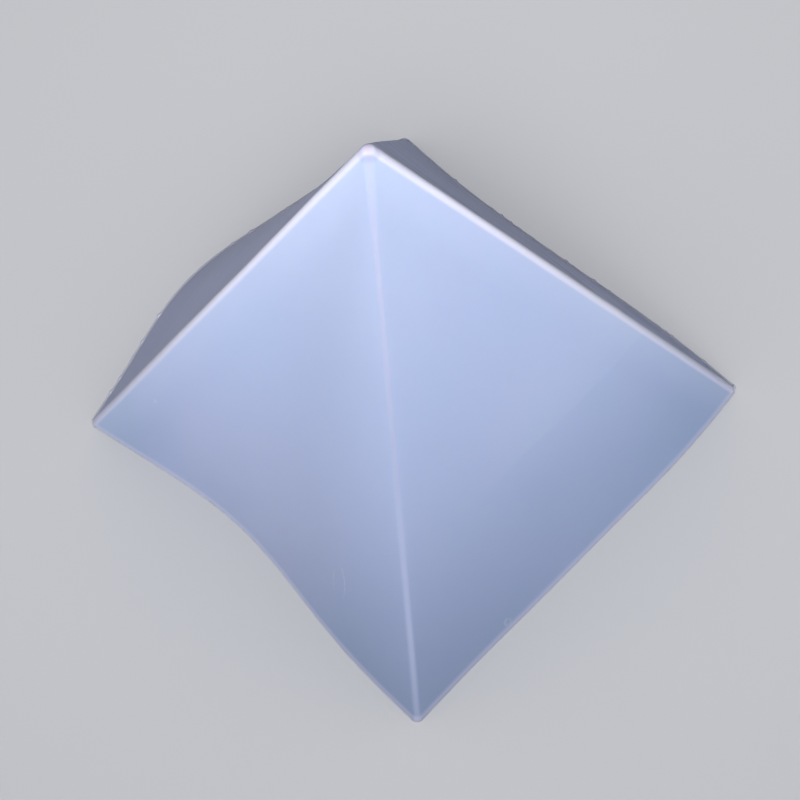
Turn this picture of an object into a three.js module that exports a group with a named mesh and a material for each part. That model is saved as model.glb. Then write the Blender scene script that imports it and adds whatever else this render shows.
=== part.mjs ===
// A pyramid resin casting mould: one soft silicone casting, standing tip up on its open square rim.
//
// Units are millimetres and +Z is up. The rim's flat end face is Z = 0, and the origin is the middle of
// the footprint. The front wall faces -Y, the right wall +X, the back wall +Y and the left wall -X.

import * as THREE from 'three';
import { mergeVertices } from 'three/addons/utils/BufferGeometryUtils.js';

// The cavity is the casting that the mould makes: a square pyramid as tall as its base is wide.
const CAVITY_SIDE = 150;
const CAVITY_HEIGHT = 150;

// The silicone is equally thick everywhere, so the outside ridges and the tip are rounded by this much.
const WALL_THICKNESS = 2.5;

// The soft walls do not stand flat: each rim edge waves in and out between its two corners. The edge is a
// sum of half waves, and these are their heights at the rim, positive outwards. A belly is one half wave
// along the wall, a lean is two, a shoulder is three and a ripple is four. Edges run anticlockwise when
// seen from above, so the front edge starts at the left corner.
const FRONT_EDGE = { belly: -6.7, lean: -2.0, shoulder: 0.8, ripple: 0.1 };
const RIGHT_EDGE = { belly: 1.4, lean: -0.8, shoulder: 0.2, ripple: -0.2 };
const BACK_EDGE = { belly: -0.8, lean: 1.2, shoulder: 0, ripple: 0.1 };
const LEFT_EDGE = { belly: 14.4, lean: -1.3, shoulder: -0.4, ripple: 0.8 };

// The waves die out up the wall as this power of the distance from the tip, where the walls are stiffest.
const WAVE_FADE = 1.5;

// How finely the curved stretches are cut into flat facets.
const STEPS_PER_WALL = 14;
const STEPS_PER_RIDGE = 4;
const STEPS_UP_A_WALL = 8;
const STEPS_OVER_THE_TIP = 3;

// Vertices closer than this are one vertex, and a facet between fewer than three of them is left out.
const SAME_POINT = 1e-3;

const SILICONE = { color: 0xc3d0ea, roughness: 0.35, metalness: 0 };

const UP = new THREE.Vector3(0, 0, 1);
const TIP = new THREE.Vector3(0, 0, CAVITY_HEIGHT);
const HALF_SIDE = CAVITY_SIDE / 2;

// A wall faces one way, and its edge runs a quarter turn anticlockwise from there, from one corner of the
// cavity's base square to the next.
function makeWall(facingX, facingY, edge) {
  const facing = new THREE.Vector3(facingX, facingY, 0);
  const direction = UP.clone().cross(facing);
  const start = facing.clone().sub(direction).multiplyScalar(HALF_SIDE);
  return { facing, direction, start, heights: [edge.belly, edge.lean, edge.shoulder, edge.ripple] };
}

const WALLS = [
  makeWall(0, -1, FRONT_EDGE),
  makeWall(1, 0, RIGHT_EDGE),
  makeWall(0, 1, BACK_EDGE),
  makeWall(-1, 0, LEFT_EDGE),
];

// How far a wall's rim edge stands out of the straight line between its corners, and how fast that
// changes, at `along`, which runs from 0 at the edge's start to 1 at its end.
function edgeWave(wall, along) {
  let height = 0;
  let slope = 0;
  wall.heights.forEach((waveHeight, index) => {
    const rate = (index + 1) * Math.PI;
    height += waveHeight * Math.sin(rate * along);
    slope += waveHeight * rate * Math.cos(rate * along);
  });
  return { height, slope };
}

// A spot on the cavity's wall and the outward normal there. `along` runs across the wall and `down` from 0
// at the tip to 1 at the rim.
function wallSpot(wall, along, down) {
  const wave = edgeWave(wall, along);
  const slide = wall.start.clone().addScaledVector(wall.direction, CAVITY_SIDE * along).sub(TIP);
  const point = TIP.clone()
    .addScaledVector(slide, down)
    .addScaledVector(wall.facing, wave.height * down ** WAVE_FADE);
  const fade = down ** (WAVE_FADE - 1);
  const across = wall.direction.clone().multiplyScalar(CAVITY_SIDE)
    .addScaledVector(wall.facing, wave.slope * fade);
  const downhill = slide.addScaledVector(wall.facing, wave.height * WAVE_FADE * fade);
  return { point, normal: downhill.cross(across).normalize() };
}

// A direction part of the way from one unit vector to another, on the arc between them.
function turnTowards(from, to, share) {
  const angle = from.angleTo(to);
  const turned = from.clone().multiplyScalar(Math.sin((1 - share) * angle));
  return turned.addScaledVector(to, Math.sin(share * angle)).normalize();
}

// The stations round the shell, in order, each a function that gives its spot at any distance down. On a
// ridge the point stays in the cavity's sharp corner while the normal swings round from one wall to the
// next, which is what rounds the ridge outside.
function stationsAround() {
  return WALLS.flatMap((wall, index) => {
    const nextWall = WALLS[(index + 1) % WALLS.length];
    const onTheWall = Array.from({ length: STEPS_PER_WALL + 1 }, (_, step) => (
      (down) => wallSpot(wall, step / STEPS_PER_WALL, down)
    ));
    const onTheRidge = Array.from({ length: STEPS_PER_RIDGE - 1 }, (_, step) => (down) => {
      const before = wallSpot(wall, 1, down);
      const after = wallSpot(nextWall, 0, down);
      const share = (step + 1) / STEPS_PER_RIDGE;
      return { point: before.point, normal: turnTowards(before.normal, after.normal, share) };
    });
    return [...onTheWall, ...onTheRidge];
  });
}

// How far down the outside of a station meets the floor. The normal leans upwards, so that is a little
// past the cavity's own edge, and a few rounds settle it.
function downToTheFloor(station) {
  let down = 1;
  for (let round = 0; round < 6; round += 1) {
    down = 1 + (WALL_THICKNESS * station(down).normal.z) / CAVITY_HEIGHT;
  }
  return down;
}

// The ring of outside points at one share of the way down from the ball at the tip to the floor.
function outsideRing(stations, share) {
  return stations.map((station) => {
    const spot = station(share * downToTheFloor(station));
    return spot.point.addScaledVector(spot.normal, WALL_THICKNESS);
  });
}

// The ring of points on the ball that rounds the tip, from its top (0) to where the walls begin (1).
function tipRing(stations, share) {
  return stations.map((station) => (
    TIP.clone().addScaledVector(turnTowards(UP, station(0).normal, share), WALL_THICKNESS)
  ));
}

// The ring of cavity points at one share of the way down from the tip to the rim.
function cavityRing(stations, share) {
  return stations.map((station) => station(share).point);
}

// The silicone's surface as rings, from the outside of the tip down to the rim and up again inside.
function shellRings(stations) {
  const rings = [];
  for (let step = 0; step < STEPS_OVER_THE_TIP; step += 1) {
    rings.push(tipRing(stations, step / STEPS_OVER_THE_TIP));
  }
  for (let step = 0; step <= STEPS_UP_A_WALL; step += 1) {
    rings.push(outsideRing(stations, step / STEPS_UP_A_WALL));
  }
  for (let step = STEPS_UP_A_WALL; step >= 0; step -= 1) {
    rings.push(cavityRing(stations, step / STEPS_UP_A_WALL));
  }
  return rings;
}

// The corners of all facets between neighbouring rings, two to each four-sided patch.
function facetCorners(ringCount, around) {
  const corners = [];
  for (let ring = 0; ring + 1 < ringCount; ring += 1) {
    for (let station = 0; station < around; station += 1) {
      const next = (station + 1) % around;
      const here = ring * around;
      const below = here + around;
      corners.push(here + station, below + station, below + next);
      corners.push(here + station, below + next, here + next);
    }
  }
  return corners;
}

// A closed skin through a list of rings with equally many points each.
function skinThrough(rings) {
  const loose = new THREE.BufferGeometry();
  const coordinates = rings.flat().flatMap((point) => point.toArray());
  loose.setAttribute('position', new THREE.Float32BufferAttribute(coordinates, 3));
  loose.setIndex(facetCorners(rings.length, rings[0].length));
  const skin = mergeVertices(loose, SAME_POINT);
  const corners = Array.from(skin.getIndex().array);
  const facets = [];
  while (corners.length > 0) {
    const facet = corners.splice(0, 3);
    if (new Set(facet).size === 3) facets.push(facet);
  }
  skin.setIndex(facets.flat());
  skin.computeVertexNormals();
  return skin;
}

// The whole casting in one piece of silicone: four walls, four ridges, the tip and the open rim.
function mouldShell() {
  const shell = new THREE.Mesh(
    skinThrough(shellRings(stationsAround())),
    new THREE.MeshStandardMaterial(SILICONE),
  );
  shell.name = 'mould_shell';
  shell.geometry.computeBoundingBox();
  const middle = shell.geometry.boundingBox.getCenter(new THREE.Vector3());
  shell.position.set(-middle.x, -middle.y, 0);
  return shell;
}

const mould = new THREE.Group();
mould.add(mouldShell());

export default mould;
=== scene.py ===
"""The looks of a one-piece silicone pyramid mould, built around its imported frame.

The mould stands tip up on its open rim. The front wall faces -Y, the right wall +X, the back wall +Y and
the left wall -X. Everything is in metres.
"""

import logging
import math
from dataclasses import dataclass, replace
from enum import Enum
from typing import Any, Callable

import bmesh
import bpy
import numpy as np
from mathutils import Matrix, Vector


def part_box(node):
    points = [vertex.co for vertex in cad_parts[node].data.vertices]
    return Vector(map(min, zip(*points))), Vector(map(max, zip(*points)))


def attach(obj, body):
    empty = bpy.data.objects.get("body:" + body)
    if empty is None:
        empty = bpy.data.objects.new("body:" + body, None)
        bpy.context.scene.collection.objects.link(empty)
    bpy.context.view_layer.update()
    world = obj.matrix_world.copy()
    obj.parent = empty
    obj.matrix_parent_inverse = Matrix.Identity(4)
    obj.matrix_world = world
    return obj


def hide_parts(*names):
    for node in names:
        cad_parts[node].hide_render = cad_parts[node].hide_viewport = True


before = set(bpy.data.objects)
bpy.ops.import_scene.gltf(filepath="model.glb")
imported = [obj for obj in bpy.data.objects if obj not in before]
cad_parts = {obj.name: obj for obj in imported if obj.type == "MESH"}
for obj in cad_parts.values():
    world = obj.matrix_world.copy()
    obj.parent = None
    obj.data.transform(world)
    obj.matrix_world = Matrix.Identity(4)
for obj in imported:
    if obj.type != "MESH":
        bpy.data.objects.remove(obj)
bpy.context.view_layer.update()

LOG = logging.getLogger("pyramid_mould")
MM = 0.001
BODY = "root"
CAD_NODE = "mould_shell"

WALL_THICKNESS = 2.5 * MM
UP = np.array([0.0, 0.0, 1.0])

# How many steps the CAD takes along each wall and round each ridge.
CAD_STEPS = (14, 4)

# Turns x + y or x - y into a distance from a plane through the axis and two ridges.
HALF_ROOT_TWO = math.sqrt(0.5)

Array = np.ndarray
Colour = tuple[float, float, float, float]


# ---------------------------------------------------------------------------------------------------
# The shape of the silicone
# ---------------------------------------------------------------------------------------------------


class Wall(Enum):
    """The four walls by the way each one faces, anticlockwise when seen from above."""

    FRONT = (0.0, -1.0)
    RIGHT = (1.0, 0.0)
    BACK = (0.0, 1.0)
    LEFT = (-1.0, 0.0)


@dataclass(frozen=True)
class EdgeWave:
    """Heights of the half waves in one rim edge, in metres, positive outwards.

    A belly is one half wave along the wall, a lean two, a shoulder three and a ripple four.
    """

    belly: float
    lean: float
    shoulder: float
    ripple: float

    def heights(self) -> tuple[float, float, float, float]:
        """The four heights in order of how many half waves each has."""
        return (self.belly, self.lean, self.shoulder, self.ripple)


RIM_WAVES = {
    Wall.FRONT: EdgeWave(-6.7 * MM, -2.0 * MM, 0.8 * MM, 0.1 * MM),
    Wall.RIGHT: EdgeWave(1.4 * MM, -0.8 * MM, 0.2 * MM, -0.2 * MM),
    Wall.BACK: EdgeWave(-0.8 * MM, 1.2 * MM, 0.0, 0.1 * MM),
    Wall.LEFT: EdgeWave(14.4 * MM, -1.3 * MM, -0.4 * MM, 0.8 * MM),
}


def unit(vectors: Array) -> Array:
    """Vectors, one to a row, at length one."""
    return vectors / np.linalg.norm(vectors, axis=-1, keepdims=True)


def turned(start: Array, end: Array, share: Array) -> Array:
    """Directions part of the way along the arc from one set of unit vectors to another.

    Args:
        start: The directions at share 0.
        end: The directions at share 1.
        share: How far along each arc to go.

    Returns:
        Unit vectors, one to a row.
    """
    angle = np.arccos(np.clip((start * end).sum(-1), -1.0, 1.0))[:, None]
    share = share[:, None]
    mixed = np.sin((1 - share) * angle) * start + np.sin(share * angle) * end
    return unit(np.where(angle > 1e-6, mixed, start))


@dataclass
class Stations:
    """Places round the shell. Each one lies on a wall, or on the ridge between two walls.

    Attributes:
        wall: Index of the wall that each station is on, or of the wall before its ridge.
        along: How far along that wall's edge it is, from 0 to 1.
        turn: How far the normal has swung towards the next wall, on a ridge.
        on_ridge: Which stations are on a ridge.
    """

    wall: Array
    along: Array
    turn: Array
    on_ridge: Array

    @classmethod
    def spread(cls, per_wall: int, per_ridge: int, crowding: float = 0.55) -> "Stations":
        """Stations all the way round, closer together near the ridges.

        Args:
            per_wall: Steps along each wall.
            per_ridge: Steps round each ridge.
            crowding: How much closer together, from 0 for even steps to 1.

        Returns:
            The stations, anticlockwise from the left end of the front wall.
        """
        even = np.linspace(0.0, 1.0, per_wall + 1)
        crowded = (1 - np.cos(math.pi * even)) / 2
        along = np.concatenate([even + crowding * (crowded - even), np.ones(per_ridge + 1)])
        turn = np.concatenate([np.zeros(per_wall + 1), np.linspace(0.0, 1.0, per_ridge + 1)])
        on_ridge = np.arange(len(along)) > per_wall
        count = len(Wall)
        walls = np.repeat(np.arange(count), len(along))
        return cls(walls, np.tile(along, count), np.tile(turn, count), np.tile(on_ridge, count))

    def __len__(self) -> int:
        """How many stations there are."""
        return len(self.wall)


@dataclass
class ShellForm:
    """The mould's shape, as a cavity with an even coat of silicone round it.

    Attributes:
        wall: Thickness of the silicone.
        side: Side of the cavity's square base.
        height: Height of the cavity.
        fade: The power with which the rim's waves die out towards the tip.
        ridge_radius: Radius of the outside ridges, once they are clear of the round tip. It grows to
            the wall's thickness again at the rim.
        ridge_run: How far down they reach that radius, as a share of the height.
        centre: Where the pyramid's axis stands on the floor.
    """

    wall: float
    side: float
    height: float
    fade: float = 1.5
    ridge_radius: float = 1.6 * MM
    ridge_run: float = 0.16
    centre: Vector = Vector((0.0, 0.0, 0.0))

    def __post_init__(self) -> None:
        """Works out each wall's facing, its edge's direction and the corner where its edge starts."""
        self.facing = np.array([(*wall.value, 0.0) for wall in Wall])
        self.direction = np.cross(UP, self.facing)
        self.corner = (self.facing - self.direction) * self.side / 2
        self.waves = np.array([RIM_WAVES[wall].heights() for wall in Wall])
        self.tip = UP * self.height

    def wall_spot(self, wall: Array, along: Array, down: Array) -> tuple[Array, Array]:
        """Spots on the cavity's walls.

        Args:
            wall: Index of each spot's wall.
            along: How far along the wall's edge each spot is, from 0 to 1.
            down: How far down from the tip, where 1 is the cavity's rim.

        Returns:
            The points, and the outward normals there, before the axis is moved to its place.
        """
        rate = np.arange(1, self.waves.shape[1] + 1) * math.pi
        phase = rate * along[:, None]
        swell = (self.waves[wall] * np.sin(phase)).sum(1)[:, None]
        slope = (self.waves[wall] * rate * np.cos(phase)).sum(1)[:, None]
        depth = down[:, None]
        fading = depth ** (self.fade - 1)
        facing, direction = self.facing[wall], self.direction[wall]
        slide = self.corner[wall] + direction * self.side * along[:, None] - self.tip
        point = self.tip + slide * depth + facing * swell * depth**self.fade
        across = direction * self.side + facing * slope * fading
        downhill = slide + facing * swell * self.fade * fading
        return point, unit(np.cross(downhill, across))

    def spot(self, stations: Stations, down: Array) -> tuple[Array, Array]:
        """Points on the cavity and the normals there, with the normals swung round on the ridges.

        Args:
            stations: Places round the shell.
            down: How far down from the tip each one is.

        Returns:
            The points and the unit normals.
        """
        point, before, after = self._ridge_spot(stations, down)
        return point, turned(before, after, stations.turn)

    def _ridge_spot(self, stations: Stations, down: Array) -> tuple[Array, Array, Array]:
        """Points on the cavity, with the normals of the walls before and after each station's ridge.

        Args:
            stations: Places round the shell.
            down: How far down from the tip each one is.

        Returns:
            The points, the unit normals of their own walls there, and those of the next walls.
        """
        point, before = self.wall_spot(stations.wall, stations.along, down)
        following = (stations.wall + 1) % len(Wall)
        _, after = self.wall_spot(following, np.zeros(len(stations)), down)
        return point, before, after

    def coat(self, stations: Stations, down: Array) -> Array:
        """The way from the cavity's surface to the outside, as a vector for each station.

        On a ridge it goes to a round edge of the ridge's own radius that both walls meet smoothly.

        Args:
            stations: Places round the shell.
            down: How far down from the tip each one is.

        Returns:
            One vector for each station.
        """
        _, before, after = self._ridge_spot(stations, down)
        swung = turned(before, after, stations.turn)
        run = np.clip(down / self.ridge_run, 0.0, 1.0)
        easing = run * run * (3 - 2 * run)
        radius = (self.wall + (self.ridge_radius - self.wall) * easing * (1 - down**2))[:, None]
        crest = unit(before + after)
        lean = (crest * before).sum(-1, keepdims=True)
        over_ridge = crest * (self.wall - radius) / lean + swung * radius
        return np.where(stations.on_ridge[:, None], over_ridge, before * self.wall)

    def down_to_floor(self, stations: Stations) -> Array:
        """How far down the cavity's lines go before the outside of the wall meets the floor.

        The coat leans upwards, so that is a little past the cavity's own edge. A few rounds settle it.

        Args:
            stations: Places round the shell.

        Returns:
            One distance for each station, where 1 is the cavity's rim.
        """
        down = np.ones(len(stations))
        for _ in range(6):
            down = 1 + self.coat(stations, down)[:, 2] / self.height
        return down

    def outside(self, stations: Stations, down: Array, proud: Array | float = 0.0) -> Array:
        """Points on the silicone's outside.

        Args:
            stations: Places round the shell.
            down: How far down from the tip each one is.
            proud: How far outside the surface to go.

        Returns:
            One point for each station.
        """
        point, normal = self.spot(stations, down)
        extra = normal * np.broadcast_to(proud, down.shape)[:, None]
        return point + self.coat(stations, down) + extra

    def set_centre(self) -> None:
        """Moves the axis so that the middle of the plainly rounded rim's box is the frame's origin."""
        plain = replace(self, ridge_radius=self.wall)
        stations = Stations.spread(*CAD_STEPS)
        rim = plain.outside(stations, plain.down_to_floor(stations))
        middle = (rim.min(0) + rim.max(0)) / 2
        self.centre = Vector((-middle[0], -middle[1], 0.0))


def eased(start: Array, corner: Array, end: Array, share: float) -> Array:
    """Points on the curve that rounds a corner off.

    Args:
        start: Where the curve leaves one side.
        corner: The corner.
        end: Where it meets the other side.
        share: How far along the curve, from 0 to 1.

    Returns:
        One point for each corner.
    """
    return (1 - share) ** 2 * start + 2 * share * (1 - share) * corner + share**2 * end


def swell_noise(points: Array, wavelength: float, seed: int) -> Array:
    """A smooth, repeatable unevenness, from -1 to 1, as a sum of plane waves in mixed directions.

    Args:
        points: Where to read it, one point to a row.
        wavelength: The rough size of its bumps.
        seed: Which pattern.

    Returns:
        One value for each point.
    """
    draw = np.random.default_rng(seed)
    directions = unit(draw.normal(size=(9, 3)))
    rates = 2 * math.pi / wavelength * draw.uniform(0.6, 1.5, 9)
    phases = draw.uniform(0, 2 * math.pi, 9)
    waves = np.sin(points @ (directions * rates[:, None]).T + phases)
    return np.clip(waves.sum(1) / 5.0, -1.0, 1.0)


def lofted(name: str, rings: list[Array], closed_ends: bool, offset: Vector) -> bpy.types.Object:
    """A mesh through rings of points, with equally many points in each.

    Args:
        name: The new object's name.
        rings: The rings in order.
        closed_ends: True if the last ring joins the first one again.
        offset: How far to move every point.

    Returns:
        The object, linked to the scene, with an attribute "ring" on its faces.
    """
    around = len(rings[0])
    count = len(rings)
    points = np.concatenate(rings) + np.array(offset)
    last = count if closed_ends else count - 1
    faces = []
    ring_of_face = []
    for ring in range(last):
        here = ring * around
        below = ((ring + 1) % count) * around
        for station in range(around):
            after = (station + 1) % around
            faces.append((here + station, below + station, below + after, here + after))
            ring_of_face.append(ring)
    mesh = bpy.data.meshes.new(name)
    mesh.from_pydata(points.tolist(), [], faces)
    mesh.attributes.new("ring", "INT", "FACE").data.foreach_set("value", ring_of_face)
    welder = bmesh.new()
    welder.from_mesh(mesh)
    bmesh.ops.remove_doubles(welder, verts=welder.verts, dist=0.002 * MM)
    bmesh.ops.dissolve_degenerate(welder, edges=welder.edges, dist=0.001 * MM)
    bmesh.ops.recalc_face_normals(welder, faces=welder.faces)
    welder.to_mesh(mesh)
    welder.free()
    piece = bpy.data.objects.new(name, mesh)
    bpy.context.scene.collection.objects.link(piece)
    return piece


# ---------------------------------------------------------------------------------------------------
# Node trees
# ---------------------------------------------------------------------------------------------------


class SocketKind(Enum):
    """The kinds of socket that the node groups have."""

    VALUE = "NodeSocketFloat"
    VECTOR = "NodeSocketVector"


class Sheet:
    """A node tree that is being filled in, with a short call for each kind of node used here."""

    def __init__(self, tree: bpy.types.NodeTree) -> None:
        """Takes the tree to fill in."""
        self.tree = tree

    def place(self, socket: bpy.types.NodeSocket, value: Any) -> None:
        """Links a socket to an output, or sets its own value.

        Args:
            socket: The input.
            value: An output to link, or a plain value.
        """
        if isinstance(value, bpy.types.NodeSocket):
            self.tree.links.new(value, socket)
        elif value is not None:
            socket.default_value = value

    def add(self, kind: str, settings: dict[str, Any], inputs: dict[Any, Any]) -> bpy.types.Node:
        """Adds a node.

        Args:
            kind: Blender's name for the node's type.
            settings: Properties to set on the node.
            inputs: Values or links for its inputs, by name or index.

        Returns:
            The node.
        """
        node = self.tree.nodes.new(kind)
        for name, value in settings.items():
            setattr(node, name, value)
        for key, value in inputs.items():
            self.place(node.inputs[key], value)
        return node

    def math(self, operation: str, *values: Any, clamp: bool = False) -> bpy.types.NodeSocket:
        """The result of a Math node on up to three values."""
        settings = {"operation": operation, "use_clamp": clamp}
        return self.add("ShaderNodeMath", settings, dict(enumerate(values))).outputs[0]

    def vector(self, operation: str, *values: Any) -> bpy.types.NodeSocket:
        """The result of a Vector Math node: its number where it gives one, otherwise its vector."""
        node = self.add("ShaderNodeVectorMath", {"operation": operation}, dict(enumerate(values)))
        return node.outputs[1 if operation in ("LENGTH", "DOT_PRODUCT", "DISTANCE") else 0]

    def parts(self, vector: bpy.types.NodeSocket) -> tuple[bpy.types.NodeSocket, ...]:
        """A vector's three parts."""
        return tuple(self.add("ShaderNodeSeparateXYZ", {}, {0: vector}).outputs)

    def joined(self, x: Any, y: Any, z: Any) -> bpy.types.NodeSocket:
        """A vector from three parts."""
        return self.add("ShaderNodeCombineXYZ", {}, {0: x, 1: y, 2: z}).outputs[0]

    def band(self, value: Any, start: Any, end: Any, low: float = 0.0, high: float = 1.0) -> Any:
        """A smooth step: low at start, high at end, and level beyond them.

        Args:
            value: What is read.
            start: Where the step starts.
            end: Where it ends, which may be below start.
            low: The result before the step.
            high: The result after it.

        Returns:
            The output socket.
        """
        settings = {"interpolation_type": "SMOOTHSTEP"}
        inputs = {0: value, 1: start, 2: end, 3: low, 4: high}
        return self.add("ShaderNodeMapRange", settings, inputs).outputs[0]

    def mix(self, share: Any, first: Any, second: Any, blend: str = "MIX") -> bpy.types.NodeSocket:
        """A blend of two colours.

        Args:
            share: How much of the second one.
            first: The colour at share 0.
            second: The colour at share 1.
            blend: How they mix.

        Returns:
            The blended colour.
        """
        settings = {"data_type": "RGBA", "blend_type": blend}
        node = self.add("ShaderNodeMix", settings, {0: share, 6: first, 7: second})
        return node.outputs[2]

    def noise(self, vector: Any, scale: Any, detail: float = 2.0, roughness: float = 0.5) -> Any:
        """The value of a Noise texture, about 0.5 on the whole."""
        inputs = {"Vector": vector, "Scale": scale, "Detail": detail, "Roughness": roughness}
        return self.add("ShaderNodeTexNoise", {}, inputs).outputs[0]


def new_group(
    name: str,
    inputs: dict[str, tuple[SocketKind, Any]],
    outputs: dict[str, SocketKind],
    fill: Callable[[Sheet, Any, Any], None],
) -> bpy.types.NodeTree:
    """Makes a shader node group.

    Args:
        name: The group's name.
        inputs: The kind and first value of each named input.
        outputs: The kind of each named output.
        fill: Fills in the group, given its sheet, its inputs and the sockets that its outputs take.

    Returns:
        The group.
    """
    tree = bpy.data.node_groups.new(name, "ShaderNodeTree")
    for label, (kind, value) in inputs.items():
        socket = tree.interface.new_socket(label, in_out="INPUT", socket_type=kind.value)
        if value is not None:
            socket.default_value = value
    for label, kind in outputs.items():
        tree.interface.new_socket(label, in_out="OUTPUT", socket_type=kind.value)
    entry = tree.nodes.new("NodeGroupInput")
    leave = tree.nodes.new("NodeGroupOutput")
    fill(Sheet(tree), entry.outputs, leave.inputs)
    return tree


@dataclass(frozen=True)
class RubMark:
    """A short curved mark where something has rubbed the silicone.

    Attributes:
        spot: Where it is on the wall.
        middle: The middle of the curve that it follows.
        radius: That curve's radius.
        reach: How far it goes from its spot.
        width: How wide it is on each side of its line.
    """

    spot: Vector
    middle: Vector
    radius: float
    reach: float
    width: float


RUB_MARKS = (
    RubMark(
        spot=Vector((0.043, -0.0645, 0.024)), middle=Vector((0.029, -0.062, 0.016)),
        radius=16.5 * MM, reach=8.5 * MM, width=0.45 * MM,
    ),
    RubMark(
        spot=Vector((0.038, -0.0655, 0.021)), middle=Vector((0.049, -0.069, 0.026)),
        radius=12.0 * MM, reach=4.5 * MM, width=0.35 * MM,
    ),
    RubMark(
        spot=Vector((0.0835, -0.0367, 0.003)), middle=Vector((0.0815, -0.0352, 0.002)),
        radius=2.6 * MM, reach=3.6 * MM, width=0.35 * MM,
    ),
)
NICKS = (Vector((-0.0454, -0.0631, 0.0279)), Vector((-0.0511, -0.0238, 0.0524)))
NICK_REACH = 1.1 * MM


class EffectLibrary:
    """The node groups that the finishes share. Each is made once."""

    def __init__(self, form: ShellForm) -> None:
        """Makes the groups.

        Args:
            form: The mould's shape, for the effects that follow its ridges and rim.
        """
        self.form = form
        place = {"Position": (SocketKind.VECTOR, None)}
        value = SocketKind.VALUE
        self.ridges = new_group(
            "ridge_nearness",
            {**place, "Half Width": (value, 1.6 * MM), "Fading": (value, 1.0 * MM)},
            {"Pale Pair": value, "Other Pair": value},
            self._fill_ridges,
        )
        self.clouds = new_group(
            "clouding",
            {**place, "Size": (value, 30 * MM)},
            {"Cloud": value},
            self._fill_clouds,
        )
        self.lines = new_group(
            "drag_lines",
            {**place, "Pitch": (value, 3.0 * MM)},
            {"Lines": value, "Bands": value, "Rear": value, "Back": value},
            self._fill_lines,
        )
        self.marks = new_group(
            "handling_marks_and_light_step", place, {"Mark": value, "Painted Light Step": value}, self._fill_marks
        )
        self.specks = new_group(
            "specks",
            {**place, "Spacing": (value, 19 * MM), "Size": (value, 0.45 * MM)},
            {"Speck": value},
            self._fill_specks,
        )

    def use(self, sheet: Sheet, group: bpy.types.NodeTree, inputs: dict[str, Any]) -> Any:
        """Places a group in a tree.

        Args:
            sheet: The tree.
            group: The group.
            inputs: Values or links for its inputs.

        Returns:
            The group node's outputs, by name.
        """
        return sheet.add("ShaderNodeGroup", {"node_tree": group}, inputs).outputs

    def _fill_ridges(self, sheet: Sheet, given: Any, out: Any) -> None:
        """One along the ridges within Half Width, fading to nothing over Fading beyond that.

        The pale pair are the front left and back right ridges, which are pale on their lit side only.

        Args:
            sheet: The group's tree.
            given: Its inputs.
            out: The sockets that its outputs take.
        """
        from_axis = sheet.vector("SUBTRACT", given["Position"], tuple(self.form.centre))
        x, y, _ = sheet.parts(from_axis)
        end = sheet.math("ADD", given["Half Width"], given["Fading"])
        lit_side = sheet.math("MULTIPLY", sheet.math("SUBTRACT", x, y), HALF_ROOT_TWO)
        over_crest = sheet.band(lit_side, -1.9 * MM, -1.3 * MM)
        down_lit_side = sheet.band(lit_side, given["Half Width"], end, 1.0, 0.0)
        sheet.place(out["Pale Pair"], sheet.math("MULTIPLY", over_crest, down_lit_side))
        gap = sheet.math("MULTIPLY", sheet.math("ABSOLUTE", sheet.math("ADD", x, y)), HALF_ROOT_TWO)
        sheet.place(out["Other Pair"], sheet.band(gap, given["Half Width"], end, 1.0, 0.0))

    def _fill_clouds(self, sheet: Sheet, given: Any, out: Any) -> None:
        """Soft clouds, from about -1 to 1.

        Args:
            sheet: The group's tree.
            given: Its inputs.
            out: The sockets that its outputs take.
        """
        scale = sheet.math("DIVIDE", 1.0, given["Size"])
        cloud = sheet.noise(given["Position"], scale, 3.0, 0.45)
        sheet.place(out["Cloud"], sheet.math("MULTIPLY_ADD", cloud, 2.6, -1.3))

    def _fill_lines(self, sheet: Sheet, given: Any, out: Any) -> None:
        """Long level lines, broader bands of them, and masks of the back and left walls.

        Rear is one on the back and left walls. Back is one on the back wall, which has the strongest
        lines, and nearly nothing on the left one.

        Args:
            sheet: The group's tree.
            given: Its inputs.
            out: The sockets that its outputs take.
        """
        from_axis = sheet.vector("SUBTRACT", given["Position"], tuple(self.form.centre))
        x, y, z = sheet.parts(from_axis)
        wander = sheet.noise(given["Position"], 12.0, 1.0)
        level = sheet.math("MULTIPLY_ADD", wander, 5.0 * MM, z)
        fine_rate = sheet.math("DIVIDE", 1.0, given["Pitch"])
        fine = self._squeezed(sheet, (x, y, level), 14.0, fine_rate)
        sheet.place(out["Lines"], sheet.noise(fine, 1.0, 5.0, 0.72))
        broad = self._squeezed(sheet, (x, y, level), 7.0, 75.0)
        sheet.place(out["Bands"], sheet.noise(broad, 1.0, 2.0, 0.5))
        backwards = sheet.math("MAXIMUM", y, sheet.math("MULTIPLY", x, -1.0))
        forwards = sheet.math("MAXIMUM", x, sheet.math("MULTIPLY", y, -1.0))
        lead = sheet.math("SUBTRACT", backwards, forwards)
        rear = sheet.band(lead, 1.0 * MM, 4.0 * MM)
        sheet.place(out["Rear"], rear)
        to_back = sheet.band(sheet.math("ADD", x, y), -2.0 * MM, 2.0 * MM, 0.08, 1.0)
        sheet.place(out["Back"], sheet.math("MULTIPLY", rear, to_back))

    def _squeezed(self, sheet: Sheet, place: tuple[Any, ...], level_rate: float, rise_rate: Any) -> Any:
        """A place for reading noise whose bumps are long and level.

        Args:
            sheet: The group's tree.
            place: The place's three parts.
            level_rate: How fast the noise changes along the floor's two directions.
            rise_rate: How fast it changes upwards.

        Returns:
            The place to read.
        """
        x, y, z = place
        return sheet.joined(
            sheet.math("MULTIPLY", x, level_rate),
            sheet.math("MULTIPLY", y, level_rate),
            sheet.math("MULTIPLY", z, rise_rate),
        )

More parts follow.
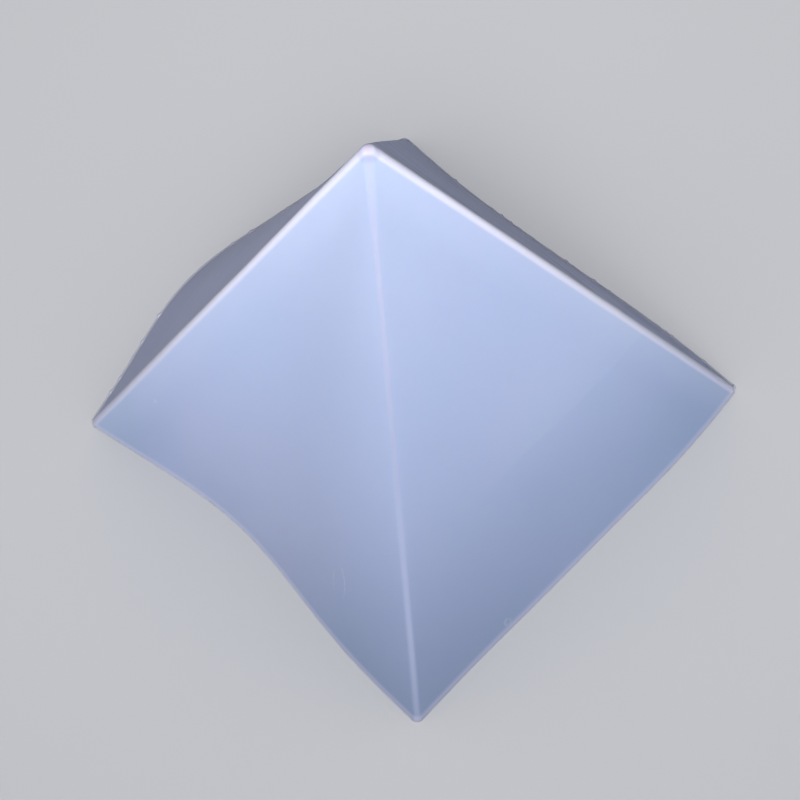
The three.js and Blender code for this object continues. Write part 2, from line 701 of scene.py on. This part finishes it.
    def _arc(self, sheet: Sheet, position: Any, centre: Vector, radius: float, width: float) -> Any:
        """One on a ball round a centre, which shows as a thin curved line where it cuts a wall.

        Args:
            sheet: The group's tree.
            position: The object coordinates.
            centre: The ball's centre.
            radius: Its radius.
            width: How far from it the line fades to nothing.

        Returns:
            The mask.
        """
        distance = sheet.vector("DISTANCE", position, tuple(centre))
        off_line = sheet.math("ABSOLUTE", sheet.math("SUBTRACT", distance, radius))
        return sheet.band(off_line, 0.0, width, 1.0, 0.0)

    def _within(self, sheet: Sheet, position: Any, centre: Vector, reach: float) -> Any:
        """One near a point, falling to nothing at reach."""
        distance = sheet.vector("DISTANCE", position, tuple(centre))
        return sheet.band(distance, reach * 0.5, reach, 1.0, 0.0)

    def _fill_marks(self, sheet: Sheet, given: Any, out: Any) -> None:
        """A few curved rub marks low on the front and right walls, and a faint painted light step along
        a level line on the right.

        Args:
            sheet: The group's tree.
            given: Its inputs.
            out: The sockets that its outputs take.
        """
        position = given["Position"]
        total: Any = 0.0
        for rub in RUB_MARKS:
            stroke = self._arc(sheet, position, rub.middle, rub.radius, rub.width)
            stroke = sheet.math("MULTIPLY", stroke, self._within(sheet, position, rub.spot, rub.reach))
            total = sheet.math("ADD", total, stroke)
        for nick in NICKS:
            total = sheet.math("ADD", total, self._within(sheet, position, nick, NICK_REACH))
        patchy = sheet.band(sheet.noise(position, 900.0, 2.0), 0.35, 0.6)
        sheet.place(out["Mark"], sheet.math("MULTIPLY", total, patchy, clamp=True))
        x, y, z = sheet.parts(position)
        wander = sheet.math("MULTIPLY", sheet.noise(position, 30.0, 1.0), 4 * MM)
        level = sheet.math("ADD", z, wander)
        # Painted light: paler above a level line on the right wall, fading upwards.
        step = sheet.band(level, 47.6 * MM, 48.6 * MM)
        fade = sheet.band(level, 95 * MM, 55 * MM)
        rightwards = sheet.band(x, 20 * MM, 40 * MM)
        backwards = sheet.band(y, -25 * MM, 5 * MM)
        far_right = sheet.math("MULTIPLY", rightwards, backwards)
        painted_light_step = sheet.math("MULTIPLY", sheet.math("MULTIPLY", step, fade), far_right)
        sheet.place(out["Painted Light Step"], painted_light_step)

    def _fill_specks(self, sheet: Sheet, given: Any, out: Any) -> None:
        """Sparse small specks: about half of the pattern's cells have one.

        Args:
            sheet: The group's tree.
            given: Its inputs.
            out: The sockets that its outputs take.
        """
        scale = sheet.math("DIVIDE", 1.0, given["Spacing"])
        inputs = {"Vector": given["Position"], "Scale": scale, "Randomness": 1.0}
        cells = sheet.add("ShaderNodeTexVoronoi", {"feature": "F1"}, inputs)
        distance = sheet.math("MULTIPLY", cells.outputs["Distance"], given["Spacing"])
        lucky = sheet.parts(cells.outputs["Color"])
        size = sheet.math("MULTIPLY", given["Size"], lucky[1])
        dot = sheet.band(distance, size, sheet.math("MULTIPLY", size, 0.4))
        chosen = sheet.math("GREATER_THAN", lucky[0], 0.55)
        sheet.place(out["Speck"], sheet.math("MULTIPLY", dot, chosen))


# ---------------------------------------------------------------------------------------------------
# Finishes
# ---------------------------------------------------------------------------------------------------


@dataclass(frozen=True)
class SiliconeFinish:
    """Translucent milky silicone rubber.

    Attributes:
        name: The material's name.
        low: Its colour near the rim, darkened there as painted shade.
        middle: Its colour half way up.
        high: Its colour near the tip, paler there as painted light.
        painted_glow: Its painted glow colour in the ridges and at the rim, standing for light that
            passes through more silicone there.
        painted_halo: The painted glow that spreads from the pale ridges onto the walls beside them.
        skirt: Its colour low on the left of the front wall, where light comes through from the table.
        left: Its colour on the left wall, a lighter and bluer copy of the body colour as painted light.
        back: Its colour on the back wall, a darker and bluer copy of the body colour as painted shade.
        violet: The colour that its soft clouds lean towards.
        painted_light_step: The colour of the painted light above a level line on the right wall.
        rubbed: The colour of the rub marks.
        dust: The colour of the pale specks.
        dirt: The colour of the dark specks.
        tip_tint: What the ball at the tip is multiplied by, where it would glow too much.
        crest_tint: What the front right ridge's crest is multiplied by, except low down, as painted
            shade.
        roughness: The satin surface's roughness.
        ridge_half_width: Half the width of the painted glow along this surface's ridges.
        ridge_share: How strongly the ridges pale with painted glow.
        relief: How strong the surface's fine relief is.
    """

    name: str
    low: Colour = (0.31, 0.41, 0.60, 1.0)
    middle: Colour = (0.455, 0.55, 0.79, 1.0)
    high: Colour = (0.51, 0.61, 0.82, 1.0)
    painted_glow: Colour = (0.79, 0.79, 0.98, 1.0)
    painted_halo: Colour = (0.62, 0.71, 0.94, 1.0)
    skirt: Colour = (0.63, 0.65, 0.91, 1.0)
    left: Colour = (0.55, 0.58, 0.90, 1.0)
    back: Colour = (0.43, 0.48, 0.86, 1.0)
    violet: Colour = (0.48, 0.50, 0.77, 1.0)
    painted_light_step: Colour = (0.9, 0.92, 1.0, 1.0)
    rubbed: Colour = (0.86, 0.86, 0.98, 1.0)
    dust: Colour = (0.95, 0.95, 1.0, 1.0)
    dirt: Colour = (0.16, 0.17, 0.22, 1.0)
    tip_tint: Colour = (0.84, 0.83, 0.86, 1.0)
    crest_tint: Colour = (0.95, 0.89, 0.86, 1.0)
    roughness: float = 0.46
    ridge_half_width: float = 1.3 * MM
    ridge_share: float = 0.9
    relief: float = 1.0

    def material(self, effects: EffectLibrary) -> bpy.types.Material:
        """Builds the material.

        Args:
            effects: The shared node groups.

        Returns:
            The material.
        """
        made = bpy.data.materials.new(self.name)
        made.use_nodes = True
        tree = made.node_tree
        tree.nodes.clear()
        sheet = Sheet(tree)
        position = tree.nodes.new("ShaderNodeTexCoord").outputs["Object"]
        colour = self._colour(sheet, effects, position)
        roughness, normal = self._surface(sheet, effects, position)
        skin = sheet.add("ShaderNodeBsdfPrincipled", {"subsurface_method": "RANDOM_WALK"}, {
            "Base Color": colour,
            "Roughness": roughness,
            "Normal": normal,
            "IOR": 1.41,
            "Specular IOR Level": 0.2,
            "Subsurface Weight": 0.75,
            "Subsurface Radius": (1.0, 0.95, 0.9),
            "Subsurface Scale": 0.9 * MM,
            "Subsurface Anisotropy": 0.3,
        })
        leave = tree.nodes.new("ShaderNodeOutputMaterial")
        tree.links.new(skin.outputs[0], leave.inputs["Surface"])
        return made

    def _colour(self, sheet: Sheet, effects: EffectLibrary, position: Any) -> Any:
        """The colour: paler upwards as painted light, with painted glow in the ridges and at the rim,
        faint clouds, marks and specks.

        Args:
            sheet: The material's tree.
            effects: The shared node groups.
            position: The object coordinates.

        Returns:
            The colour.
        """
        height = effects.form.height
        level = sheet.parts(position)[2]
        # Painted shade and light: darker towards the rim and paler towards the tip, standing for the key
        # lamp's falloff.
        lower = sheet.mix(sheet.band(level, 0.0, 0.45 * height), self.low, self.middle)
        body = sheet.mix(sheet.band(level, 0.4 * height, height), lower, self.high)
        cloud = effects.use(sheet, effects.clouds, {"Position": position, "Size": 55 * MM})[0]
        body = sheet.mix(sheet.math("MULTIPLY_ADD", cloud, 0.22, 0.2, clamp=True), body, self.violet)
        lines = effects.use(sheet, effects.lines, {"Position": position})
        body = self._lighter_sideways(sheet, effects, position, body)
        # Painted light and shade: the back and left walls get their own lit and shaded copies of the
        # body colour.
        behind = sheet.mix(lines["Back"], self.left, self.back)
        body = sheet.mix(sheet.math("MULTIPLY", lines["Rear"], 0.75), body, behind)
        # The drag lines are real relief; their colour streaks, mostly on the back wall, are painted
        # reflection.
        streak = sheet.band(lines["Lines"], 0.32, 0.68, 0.70, 1.22)
        streak = sheet.math("MULTIPLY", streak, sheet.band(lines["Bands"], 0.3, 0.7, 0.9, 1.06))
        streaks = sheet.joined(streak, streak, streak)
        body = sheet.mix(sheet.math("MULTIPLY", lines["Back"], 0.9), body, streaks, "MULTIPLY")
        body = self._painted_glow_and_shade(sheet, effects, position, body)
        marks = effects.use(sheet, effects.marks, {"Position": position})
        # Painted light above a level line on the right wall.
        body = sheet.mix(sheet.math("MULTIPLY", marks["Painted Light Step"], 0.05), body, self.painted_light_step)
        body = sheet.mix(sheet.math("MULTIPLY", marks["Mark"], 0.22), body, self.rubbed)
        pale = effects.use(sheet, effects.specks, {"Position": position})[0]
        elsewhere = sheet.vector("ADD", position, (0.37, 0.11, 0.23))
        dark = effects.use(sheet, effects.specks, {"Position": elsewhere, "Spacing": 17 * MM})[0]
        body = sheet.mix(sheet.math("MULTIPLY", pale, 0.5), body, self.dust)
        return sheet.mix(sheet.math("MULTIPLY", dark, 0.35), body, self.dirt)

    def _lighter_sideways(self, sheet: Sheet, effects: EffectLibrary, position: Any, body: Any) -> Any:
        """The body's colour, with painted shade along the front right ridge and painted light to both
        sides of it.

        It also has painted light low down towards the left, standing for light that comes through from
        the table.

        Args:
            sheet: The material's tree.
            effects: The shared node groups.
            position: The object coordinates.
            body: The colour so far.

        Returns:
            The colour.
        """
        side, height = effects.form.side, effects.form.height
        x, y, level = sheet.parts(sheet.vector("SUBTRACT", position, tuple(effects.form.centre)))
        across = sheet.math("ADD", x, y)
        # Painted shade and light: darker along the front right ridge, lighter towards the front left and
        # back right corners.
        scale = sheet.band(sheet.math("ABSOLUTE", across), 0.0, side, 0.945, 1.16)
        body = sheet.mix(1.0, body, sheet.joined(scale, scale, scale), "MULTIPLY")
        # Painted light low on the left of the front wall.
        leftwards = sheet.band(x, 0.38 * side, -0.05 * side)
        off_corner = sheet.band(x, -0.5 * side, -0.2 * side)
        forwards = sheet.band(y, 0.0, -0.2 * side)
        low_down = sheet.band(level, 0.50 * height, 0.12 * height, 0.0, 0.34)
        share = sheet.math("MULTIPLY", sheet.math("MULTIPLY", leftwards, off_corner), forwards)
        return sheet.mix(sheet.math("MULTIPLY", share, low_down), body, self.skirt)

    def _painted_glow_and_shade(self, sheet: Sheet, effects: EffectLibrary, position: Any, body: Any) -> Any:
        """The body's colour, with painted glow in the ridges and at the rim, and painted shade on the
        tip and a crest.

        Args:
            sheet: The material's tree.
            effects: The shared node groups.
            position: The object coordinates.
            body: The colour so far.

        Returns:
            The colour.
        """
        height = effects.form.height
        level = sheet.parts(position)[2]
        wide = {"Position": position, "Half Width": self.ridge_half_width}
        narrow = {"Position": position, "Half Width": 0.2 * MM}
        core = effects.use(sheet, effects.ridges, {**wide, "Fading": 0.9 * MM})["Pale Pair"]
        halo = effects.use(sheet, effects.ridges, {**wide, "Fading": 11 * MM})["Pale Pair"]
        crest = effects.use(sheet, effects.ridges, {**narrow, "Fading": 1.2 * MM})["Other Pair"]
        # Painted glow: a soft halo beside the pale ridges.
        paled = sheet.mix(sheet.math("MULTIPLY", halo, 0.30), body, self.painted_halo)
        strength = sheet.band(level, 0.0, 0.7 * height, 0.8 * self.ridge_share, self.ridge_share)
        # Painted glow on the lit side of the front left and back right ridges.
        paled = sheet.mix(sheet.math("MULTIPLY", core, strength), paled, self.painted_glow)
        # Painted shade on the ball at the tip, where the glow is toned down.
        peak = tuple(effects.form.centre + Vector((0.0, 0.0, height)))
        from_tip = sheet.vector("DISTANCE", position, peak)
        on_tip = sheet.band(from_tip, 2.5 * MM, 3.4 * MM, 0.8, 0.0)
        paled = sheet.mix(on_tip, paled, self.tip_tint, "MULTIPLY")
        # Painted highlight low on the front right ridge's crest, and painted shade on it higher up.
        low_down = sheet.band(level, 0.55 * height, 0.1 * height, 0.0, 0.22)
        paled = sheet.mix(sheet.math("MULTIPLY", crest, low_down), paled, self.painted_glow)
        higher_up = sheet.band(level, 0.1 * height, 0.6 * height)
        paled = sheet.mix(sheet.math("MULTIPLY", crest, higher_up), paled, self.crest_tint, "MULTIPLY")
        # Painted highlight: a pale band along the foot of the rim.
        lip = sheet.band(level, 0.9 * MM, 2.6 * MM, 0.42, 0.0)
        return sheet.mix(lip, paled, self.painted_glow)

    def _surface(self, sheet: Sheet, effects: EffectLibrary, position: Any) -> tuple[Any, Any]:
        """The roughness and the normal: satin, with level drag lines, soft smears and rub marks.

        Args:
            sheet: The material's tree.
            effects: The shared node groups.
            position: The object coordinates.

        Returns:
            The roughness and the normal.
        """
        lines = effects.use(sheet, effects.lines, {"Position": position})
        smear = effects.use(sheet, effects.clouds, {"Position": position, "Size": 22 * MM})[0]
        marks = effects.use(sheet, effects.marks, {"Position": position})
        roughness = sheet.math("MULTIPLY_ADD", lines["Bands"], 0.22, self.roughness - 0.11)
        roughness = sheet.math("MULTIPLY_ADD", smear, 0.05, roughness)
        roughness = sheet.math("MULTIPLY_ADD", marks["Mark"], 0.15, roughness, clamp=True)
        unit_depth = MM * self.relief
        depth = sheet.math("MULTIPLY_ADD", lines["Back"], 0.10 * unit_depth, 0.012 * unit_depth)
        height = sheet.math("MULTIPLY", lines["Lines"], depth)
        height = sheet.math("MULTIPLY_ADD", lines["Bands"], 0.05 * unit_depth, height)
        grain = sheet.noise(position, 1400.0, 2.0)
        height = sheet.math("MULTIPLY_ADD", grain, 0.006 * unit_depth, height)
        bump = sheet.add("ShaderNodeBump", {}, {"Strength": 1.0, "Distance": 1.0, "Height": height})
        return roughness, bump.outputs[0]


@dataclass(frozen=True)
class TableFinish:
    """The pale table top that the mould stands on.

    Attributes:
        name: The material's name.
        pale: Its colour.
        worn: The colour of its faint darker clouds.
        roughness: Its roughness.
    """

    name: str = "pale_table"
    pale: Colour = (0.50, 0.505, 0.525, 1.0)
    worn: Colour = (0.42, 0.42, 0.45, 1.0)
    roughness: float = 0.75

    def material(self, effects: EffectLibrary) -> bpy.types.Material:
        """Builds the material.

        Args:
            effects: The shared node groups.

        Returns:
            The material.
        """
        made = bpy.data.materials.new(self.name)
        made.use_nodes = True
        tree = made.node_tree
        tree.nodes.clear()
        sheet = Sheet(tree)
        position = tree.nodes.new("ShaderNodeTexCoord").outputs["Object"]
        cloud = effects.use(sheet, effects.clouds, {"Position": position, "Size": 0.4})[0]
        share = sheet.math("MULTIPLY_ADD", cloud, 0.04, 0.04, clamp=True)
        colour = sheet.mix(share, self.pale, self.worn)
        inputs = {"Base Color": colour, "Roughness": self.roughness}
        top = sheet.add("ShaderNodeBsdfPrincipled", {}, inputs)
        leave = tree.nodes.new("ShaderNodeOutputMaterial")
        tree.links.new(top.outputs[0], leave.inputs["Surface"])
        return made


# ---------------------------------------------------------------------------------------------------
# The pieces
# ---------------------------------------------------------------------------------------------------


@dataclass
class SiliconeShell:
    """The whole casting: four walls, four ridges, the tip and the open rim.

    Attributes:
        form: The shape that it follows.
        steps_per_wall: Stations along each wall.
        steps_per_ridge: Stations round each ridge.
        steps_up: Rings up each side of a wall.
        steps_over_tip: Rings over the ball at the tip.
        arris: How far the rim's outer edge is worn round. The inner one is worn half as far.
        unevenness: How far the outside strays from even thickness.
        bump_length: The rough size of the bumps in it.
        sharp_angle: Degrees between faces above which an edge looks sharp.
    """

    form: ShellForm
    steps_per_wall: int = 72
    steps_per_ridge: int = 10
    steps_up: int = 80
    steps_over_tip: int = 7
    arris: float = 0.5 * MM
    unevenness: float = 0.10 * MM
    bump_length: float = 34 * MM
    sharp_angle: float = 38.0

    def build(self) -> bpy.types.Object:
        """Builds the mesh: outside from the tip to the rim, round the rim, and up the cavity.

        Returns:
            The object, with its outside and inside faces in two material slots.
        """
        stations = Stations.spread(self.steps_per_wall, self.steps_per_ridge)
        floor = self.form.down_to_floor(stations)
        outside = self._tip_rings(stations) + self._outside_rings(stations, floor)
        rim = self._rim_rings(stations, floor)
        inside = self._inside_rings(stations)
        rings = outside + rim + inside
        shell = lofted("silicone_shell", rings, False, self.form.centre)
        self._sort_faces(shell, len(outside) + len(rim) - 2)
        shell.data.set_sharp_from_angle(angle=math.radians(self.sharp_angle))
        return shell

    def _tip_rings(self, stations: Stations) -> list[Array]:
        """Rings over the ball that rounds the tip, from its top down to where the walls begin.

        Args:
            stations: Places round the shell.

        Returns:
            The rings.
        """
        _, normal = self.form.spot(stations, np.zeros(len(stations)))
        upright = np.broadcast_to(UP, normal.shape)
        rings = []
        for step in range(self.steps_over_tip):
            share = np.full(len(stations), step / self.steps_over_tip)
            rings.append(self.form.tip + turned(upright, normal, share) * self.form.wall)
        return rings

    def _outside_rings(self, stations: Stations, floor: Array) -> list[Array]:
        """Rings down the outside of the walls, as far as the rim's outer edge is worn.

        Args:
            stations: Places round the shell.
            floor: How far down the outside meets the floor.

        Returns:
            The rings.
        """
        stop = floor * (1 - self.arris / self.form.side)
        rings = []
        for step in range(self.steps_up + 1):
            down = stop * step / self.steps_up
            plain = self.form.outside(stations, down)
            stray = swell_noise(plain, self.bump_length, 7) * self.unevenness
            off_tip = np.clip(down * 6, 0, 1)
            off_rim = np.clip((1 - down) * 25, 0, 1)
            rings.append(self.form.outside(stations, down, stray * off_tip * off_rim))
        return rings

    def _rim_rings(self, stations: Stations, floor: Array) -> list[Array]:
        """Rings round the rim's outer edge, across its flat face and round its inner edge.

        Args:
            stations: Places round the shell.
            floor: How far down the outside meets the floor.

        Returns:
            The rings.
        """
        outer = self.form.outside(stations, floor)
        up_outside = self.form.outside(stations, floor * (1 - self.arris / self.form.side))
        inner, _ = self.form.spot(stations, np.ones(len(stations)))
        up_inside, _ = self.form.spot(stations, np.full(len(stations), self._inner_stop()))
        inwards = unit(inner - outer)
        on_face = outer + inwards * self.arris
        off_face = inner - inwards * self.arris * 0.5
        rings = [eased(up_outside, outer, on_face, share) for share in np.linspace(0.2, 1.0, 5)]
        rings += [on_face + (off_face - on_face) * share for share in (0.25, 0.5, 0.75)]
        rings += [eased(off_face, inner, up_inside, share) for share in np.linspace(0.0, 0.8, 4)]
        return rings

    def _inner_stop(self) -> float:
        """How far down the inside reaches before the rim's inner edge is worn round."""
        return 1 - 0.5 * self.arris / self.form.side

    def _inside_rings(self, stations: Stations) -> list[Array]:
        """Rings up the inside of the cavity, from the rim's inner edge to the tip.

        Args:
            stations: Places round the shell.

        Returns:
            The rings.
        """
        rings = []
        for step in range(self.steps_up + 1):
            down = np.full(len(stations), self._inner_stop() * (1 - step / self.steps_up))
            rings.append(self.form.spot(stations, down)[0])
        return rings

    def _sort_faces(self, shell: bpy.types.Object, last_outside_ring: int) -> None:
        """Gives the cavity's faces the second material slot.

        Args:
            shell: The built shell.
            last_outside_ring: The last ring of faces that shows outside or on the rim.
        """
        mesh = shell.data
        ring = np.zeros(len(mesh.polygons), np.int32)
        mesh.attributes["ring"].data.foreach_get("value", ring)
        slots = (ring > last_outside_ring).astype(np.int32)
        mesh.polygons.foreach_set("material_index", slots)
        mesh.polygons.foreach_set("use_smooth", np.ones(len(mesh.polygons), bool))
        mesh.attributes.remove(mesh.attributes["ring"])

    def dress(self, shell: bpy.types.Object, effects: EffectLibrary) -> None:
        """Gives the outside its satin finish and the cavity its glossier one.

        Args:
            shell: The built shell.
            effects: The shared node groups.
        """
        satin = SiliconeFinish("satin_silicone")
        glossy = SiliconeFinish("cavity_silicone", roughness=0.2, ridge_half_width=0.4 * MM, relief=0.3)
        shell.data.materials.append(satin.material(effects))
        shell.data.materials.append(glossy.material(effects))
        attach(shell, BODY)
        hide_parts(CAD_NODE)


@dataclass
class RimFlash:
    """The thin ragged film that the casting tool's joint leaves along the rim's outer edge.

    Attributes:
        form: The shape that it follows.
        thickness: How thick the film is.
        least: How far it stands out at least.
        most: How far it stands out at most.
        extra_behind: How much wider it is along the back and left walls.
        bead_count: How many beads it has.
        bead_size: The largest bead's size.
        bead_reach: How far from the middle of a wall's edge they go, where half would be its corners.
        steps_per_wall: Stations along each wall.
        steps_per_ridge: Stations round each ridge.
    """

    form: ShellForm
    thickness: float = 0.22 * MM
    least: float = 0.10 * MM
    most: float = 0.50 * MM
    extra_behind: float = 0.35 * MM
    bead_count: int = 34
    bead_size: float = 0.6 * MM
    bead_reach: float = 0.44
    steps_per_wall: int = 300
    steps_per_ridge: int = 8

    def build(self) -> bpy.types.Object:
        """Builds the film as a ring that follows the rim.

        Returns:
            The object.
        """
        stations = Stations.spread(self.steps_per_wall, self.steps_per_ridge)
        floor = self.form.down_to_floor(stations)
        root = self.form.outside(stations, floor)
        _, normal = self.form.spot(stations, floor)
        outwards = unit(normal * [1.0, 1.0, 0.0])
        ragged = swell_noise(root, 9 * MM, 3) * 0.5 + swell_noise(root, 2.2 * MM, 4) * 0.5
        width = self.least + (self.most - self.least) * np.clip(ragged, 0, 1) ** 1.5
        behind = np.clip((outwards[:, 1] - outwards[:, 0]) * 2.0, 0, 1)
        beads = self._beads(root, np.flatnonzero(np.abs(stations.along - 0.5) < self.bead_reach))
        beads = beads * (0.15 + 0.85 * behind)
        width = (width * (0.5 + 0.5 * behind) + behind * self.extra_behind + beads)[:, None]
        thickness = (self.thickness + beads * 0.8)[:, None]
        rings = [
            root - outwards * 0.3 * MM,
            root + outwards * width,
            root + outwards * width * 1.02 + UP * thickness * 0.45,
            root + outwards * width * 0.85 + UP * thickness * 0.9,
            root + outwards * width * 0.3 + UP * thickness * 1.15,
            root - outwards * 0.15 * MM + UP * thickness * 1.6,
            root - outwards * 0.45 * MM + UP * self.thickness * 1.5,
        ]
        film = lofted("rim_flash", rings, True, self.form.centre)
        film.data.polygons.foreach_set("use_smooth", np.ones(len(film.data.polygons), bool))
        film.data.attributes.remove(film.data.attributes["ring"])
        return film

    def _beads(self, root: Array, allowed: Array) -> Array:
        """How far small beads of silicone stand out of the film, at each of its points.

        Args:
            root: The points along the rim that the film grows from.
            allowed: Indices of those that a bead may sit on.

        Returns:
            One distance for each point.
        """
        draw = np.random.default_rng(11)
        total = np.zeros(len(root))
        for index in draw.choice(allowed, self.bead_count):
            away = np.linalg.norm(root - root[index], axis=1) / self.bead_size
            total = np.maximum(total, self.bead_size * draw.uniform(0.4, 1.0) * np.exp(-(away**2)))
        return total

    def dress(self, film: bpy.types.Object, effects: EffectLibrary) -> None:
        """Gives the film the silicone's finish.

        Args:
            film: The built film.
            effects: The shared node groups.
        """
        # Painted glow: the film is pale along the back and left walls, and darker along the front.
        pale = (0.80, 0.80, 0.95, 1.0)
        dull = (0.36, 0.37, 0.50, 1.0)
        thin = SiliconeFinish(
            "flash_silicone", low=dull, left=pale, back=pale, roughness=0.3, relief=0.3
        )
        film.data.materials.append(thin.material(effects))
        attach(film, BODY)


# ---------------------------------------------------------------------------------------------------
# The studio
# ---------------------------------------------------------------------------------------------------


def direction_to(azimuth: float, elevation: float) -> Vector:
    """The direction from the object to a viewer.

    Args:
        azimuth: Degrees round from the front, towards the right.
        elevation: Degrees above the horizon.

    Returns:
        A unit vector.
    """
    turn, rise = math.radians(azimuth), math.radians(elevation)
    return Vector((math.sin(turn) * math.cos(rise), -math.cos(turn) * math.cos(rise), math.sin(rise)))


def facing(back: Vector, roll: float = 0.0) -> Matrix:
    """The rotation of a camera or lamp that looks along minus `back`.

    Args:
        back: Unit vector from what it looks at towards it.
        roll: Degrees that its picture is rolled.

    Returns:
        A four by four rotation.
    """
    level = Vector((0.0, 0.0, 1.0)).cross(back)
    right = level.normalized() if level.length > 1e-6 else Vector((1.0, 0.0, 0.0))
    up = back.cross(right)
    turn = math.radians(roll)
    rolled_right = right * math.cos(turn) + up * math.sin(turn)
    rolled_up = up * math.cos(turn) - right * math.sin(turn)
    return Matrix((rolled_right, rolled_up, back)).transposed().to_4x4()


@dataclass(frozen=True)
class StudioCamera:
    """The camera, aimed from above the corner between the front and right walls.

    Attributes:
        azimuth: Degrees round from the front, towards the right.
        elevation: Degrees above the horizon.
        roll: Degrees that its picture is rolled.
        distance: How far it stands from its target.
        slide_right: How far it is moved sideways from there, without turning.
        slide_up: How far it is moved upwards in its picture.
        lens: Its focal length in millimetres.
        sensor_width: Its sensor's width in millimetres.
    """

    azimuth: float = 52.76
    elevation: float = 63.40
    roll: float = -9.87
    distance: float = 0.5750
    slide_right: float = -3.4 * MM
    slide_up: float = 2.1 * MM
    lens: float = 76.4
    sensor_width: float = 36.0

    def build(self, target: Vector) -> bpy.types.Object:
        """Makes the scene's camera.

        Args:
            target: The point that it is aimed past.

        Returns:
            The camera.
        """
        lens = bpy.data.cameras.new("studio_camera")
        lens.lens = self.lens
        lens.sensor_width = self.sensor_width
        lens.clip_start = 0.01
        camera = bpy.data.objects.new("studio_camera", lens)
        back = direction_to(self.azimuth, self.elevation)
        turn = facing(back, self.roll)
        right, up = Vector(turn.col[0][:3]), Vector(turn.col[1][:3])
        stand = target + back * self.distance + right * self.slide_right + up * self.slide_up
        camera.matrix_world = Matrix.Translation(stand) @ turn
        bpy.context.scene.collection.objects.link(camera)
        bpy.context.scene.camera = camera
        return camera


@dataclass(frozen=True)
class SoftBox:
    """One soft studio lamp, with a grid that narrows its beam.

    Attributes:
        name: The lamp's name.
        azimuth: Degrees round from the front, towards the right.
        elevation: Degrees above the horizon.
        distance: How far the lamp is from what it is aimed at.
        width: Side of its square face.
        power: Its power in watts.
        beam: Degrees across its beam.
        aim: What it is aimed at.
    """

    name: str
    azimuth: float
    elevation: float
    distance: float
    width: float
    power: float
    beam: float = 180.0
    aim: tuple[float, float, float] = (0.0, 0.0, 0.1)

    def build(self) -> bpy.types.Object:
        """Makes the lamp.

        Returns:
            The lamp.
        """
        lamp = bpy.data.lights.new(self.name, "AREA")
        lamp.shape = "SQUARE"
        lamp.size = self.width
        lamp.energy = self.power
        lamp.spread = math.radians(self.beam)
        holder = bpy.data.objects.new(self.name, lamp)
        back = direction_to(self.azimuth, self.elevation)
        holder.matrix_world = Matrix.Translation(Vector(self.aim) + back * self.distance) @ facing(back)
        holder.visible_camera = False
        bpy.context.scene.collection.objects.link(holder)
        return holder


@dataclass
class Studio:
    """The table, the lamps and the room's soft light.

    Attributes:
        key: The lamp that lights the mould alone.
        shade: The same lamp again, weaker, for the table alone, where it leaves a soft shadow.
        overhead: A broad lamp for the table alone.
        room_light: How bright the room is for what stands in it.
        wall_brightness: How bright the room's far walls look.
        room_colour: The colour of both.
        table_half: Half the table's width.
        table_drop: How far the table is under the rim, so that their faces don't share a plane.
    """

    key: SoftBox
    shade: SoftBox
    overhead: SoftBox
    room_light: float = 0.13
    wall_brightness: float = 0.42
    room_colour: Colour = (0.84, 0.89, 1.0, 1.0)
    table_half: float = 5.0
    table_drop: float = 0.02 * MM

    def __post_init__(self) -> None:
        """Makes the collections that say what each lamp lights."""
        self.mould_only = bpy.data.collections.new("mould_only")
        self.table_only = bpy.data.collections.new("table_only")

    def build(self, effects: EffectLibrary) -> None:
        """Builds the studio.

        Args:
            effects: The shared node groups.
        """
        self._table(effects)
        self._room()
        self.key.build().light_linking.receiver_collection = self.mould_only
        self.shade.build().light_linking.receiver_collection = self.table_only
        self.overhead.build().light_linking.receiver_collection = self.table_only

    def _room(self) -> None:
        """Makes the room's dim light, and the pale walls that are seen beyond the table."""
        world = bpy.data.worlds.new("studio_room")
        world.use_nodes = True
        sheet = Sheet(world.node_tree)
        seen = world.node_tree.nodes.new("ShaderNodeLightPath").outputs["Is Camera Ray"]
        gap = self.wall_brightness - self.room_light
        strength = sheet.math("MULTIPLY_ADD", seen, gap, self.room_light)
        room = world.node_tree.nodes["Background"]
        room.inputs["Color"].default_value = self.room_colour
        sheet.place(room.inputs["Strength"], strength)
        bpy.context.scene.world = world

    def _table(self, effects: EffectLibrary) -> None:
        """Makes the table top as one flat sheet.

        Args:
            effects: The shared node groups.
        """
        half = self.table_half
        mesh = bpy.data.meshes.new("table_top")
        corners = [(-half, -half, 0.0), (half, -half, 0.0), (half, half, 0.0), (-half, half, 0.0)]
        mesh.from_pydata(corners, [], [(0, 1, 2, 3)])
        mesh.materials.append(TableFinish().material(effects))
        table = bpy.data.objects.new("table_top", mesh)
        table.location.z = -self.table_drop
        bpy.context.scene.collection.objects.link(table)
        self.table_only.objects.link(table)


def set_colours() -> None:
    """Shows colours as they are, with no film curve."""
    bpy.context.scene.view_settings.view_transform = "Standard"


def main() -> None:
    """Builds the camera, the studio and the mould's pieces, in order."""
    logging.basicConfig(level=logging.INFO, format="%(name)s: %(message)s")
    low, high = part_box(CAD_NODE)
    cavity = high.z - low.z - WALL_THICKNESS
    form = ShellForm(wall=WALL_THICKNESS, side=cavity, height=cavity)
    form.set_centre()
    set_colours()
    StudioCamera().build(form.centre)
    LOG.info("camera in place")
    effects = EffectLibrary(form)
    key = SoftBox(
        "key_softbox", azimuth=44, elevation=47, distance=0.5, width=0.22, power=0.63, beam=70,
        aim=(-0.01, 0.02, 0.165),
    )
    shade = replace(key, name="shade_softbox", power=0.2)
    overhead = SoftBox(
        "overhead_softbox", azimuth=0, elevation=90, distance=3.0, width=20.0, power=1120.0
    )
    studio = Studio(key, shade, overhead)
    studio.build(effects)
    LOG.info("studio in place")
    shell = SiliconeShell(form)
    skin = shell.build()
    shell.dress(skin, effects)
    studio.mould_only.objects.link(skin)
    LOG.info("%s: %d faces", skin.name, len(skin.data.polygons))
    flash = RimFlash(form)
    film = flash.build()
    flash.dress(film, effects)
    studio.mould_only.objects.link(film)
    LOG.info("%s: %d faces", film.name, len(film.data.polygons))


if __name__ == "__main__":
    main()
